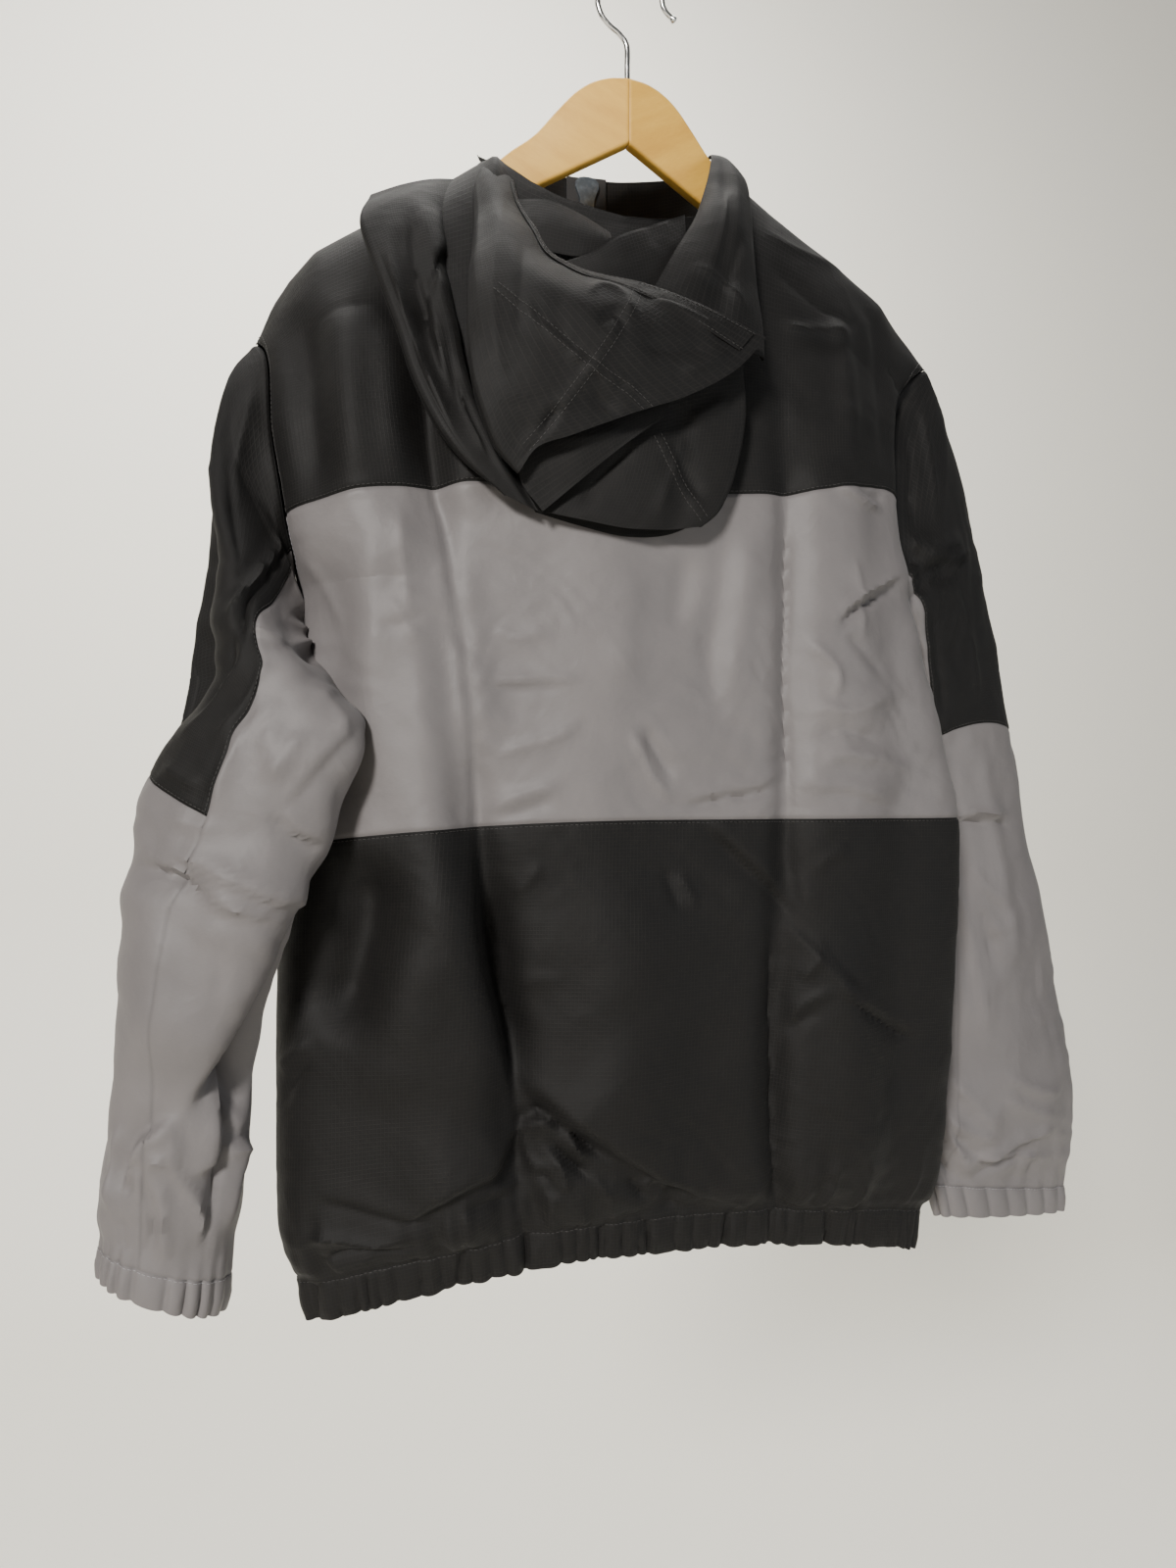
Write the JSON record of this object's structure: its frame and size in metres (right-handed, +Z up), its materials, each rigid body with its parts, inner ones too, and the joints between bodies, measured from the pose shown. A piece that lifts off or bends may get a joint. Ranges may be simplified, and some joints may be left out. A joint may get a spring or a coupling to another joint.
{
  "type": "hooded windbreaker jacket on a wooden clothes hanger",
  "caption": "Empty hooded windbreaker with colour-blocked body, gathered hem and cuffs and a full zip, hanging on a two-piece wooden hanger with a wire hook.",
  "frame": {"origin": "inner top of the hanger's hook, where a rail carries it", "axes": "+Z up, +Y towards the zip and the wearer's front, +X towards the wearer's right-hand side as seen from behind"},
  "size_m": [0.7249, 0.1843, 0.9029],
  "materials": {
    "charcoal_ripstop": "soft matt charcoal ripstop weave with a fine square grid",
    "grey_taffeta": "smooth mid-grey taffeta with a faint sheen",
    "zip_tape": "black woven zip tape with moulded teeth",
    "slider_metal": "blue-grey painted die-cast metal, left blank",
    "birch": "clear satin varnish on pale straight-grained wood",
    "hook_steel": "plain bright wire"
  },
  "bodies": {
    "jacket": {"back_yoke": "charcoal_ripstop", "back_middle": "grey_taffeta", "back_lower": "charcoal_ripstop", "front_left_yoke": "charcoal_ripstop", "front_left_middle": "grey_taffeta", "front_left_lower": "charcoal_ripstop", "front_right_yoke": "charcoal_ripstop", "front_right_middle": "grey_taffeta", "front_right_lower": "charcoal_ripstop", "hem_casing": "charcoal_ripstop", "sleeve_left_top": "charcoal_ripstop", "sleeve_left_lower": "grey_taffeta", "sleeve_left_under": "grey_taffeta", "sleeve_right_top": "charcoal_ripstop", "sleeve_right_lower": "grey_taffeta", "sleeve_right_under": "grey_taffeta", "cuff_left": "grey_taffeta", "cuff_right": "grey_taffeta", "collar_left": "charcoal_ripstop", "collar_right": "charcoal_ripstop", "hood_drape": "charcoal_ripstop", "hood_flap": "charcoal_ripstop", "hood_rim": "charcoal_ripstop", "hood_right": "charcoal_ripstop", "hood_pouch": "charcoal_ripstop", "hood_gusset": "charcoal_ripstop", "hood_under": "charcoal_ripstop", "hood_inner_left": "charcoal_ripstop", "hood_inner_right": "charcoal_ripstop", "zip_tape_left": "zip_tape", "zip_tape_right": "zip_tape", "zip_slider": "slider_metal", "hanger_arm_left": "birch", "hanger_arm_right": "birch", "hanger_hook": "hook_steel"},
    "pull_tab": {"pull_tab": "slider_metal"}
  },
  "joints": [
    {"name": "pull_tab_hinge", "type": "hinge", "parent": "jacket", "child": "pull_tab", "pos_m": [-0.009, 0.0777, -0.118], "axis": [1, 0, 0], "range_deg": [0, 150]}
  ]
}
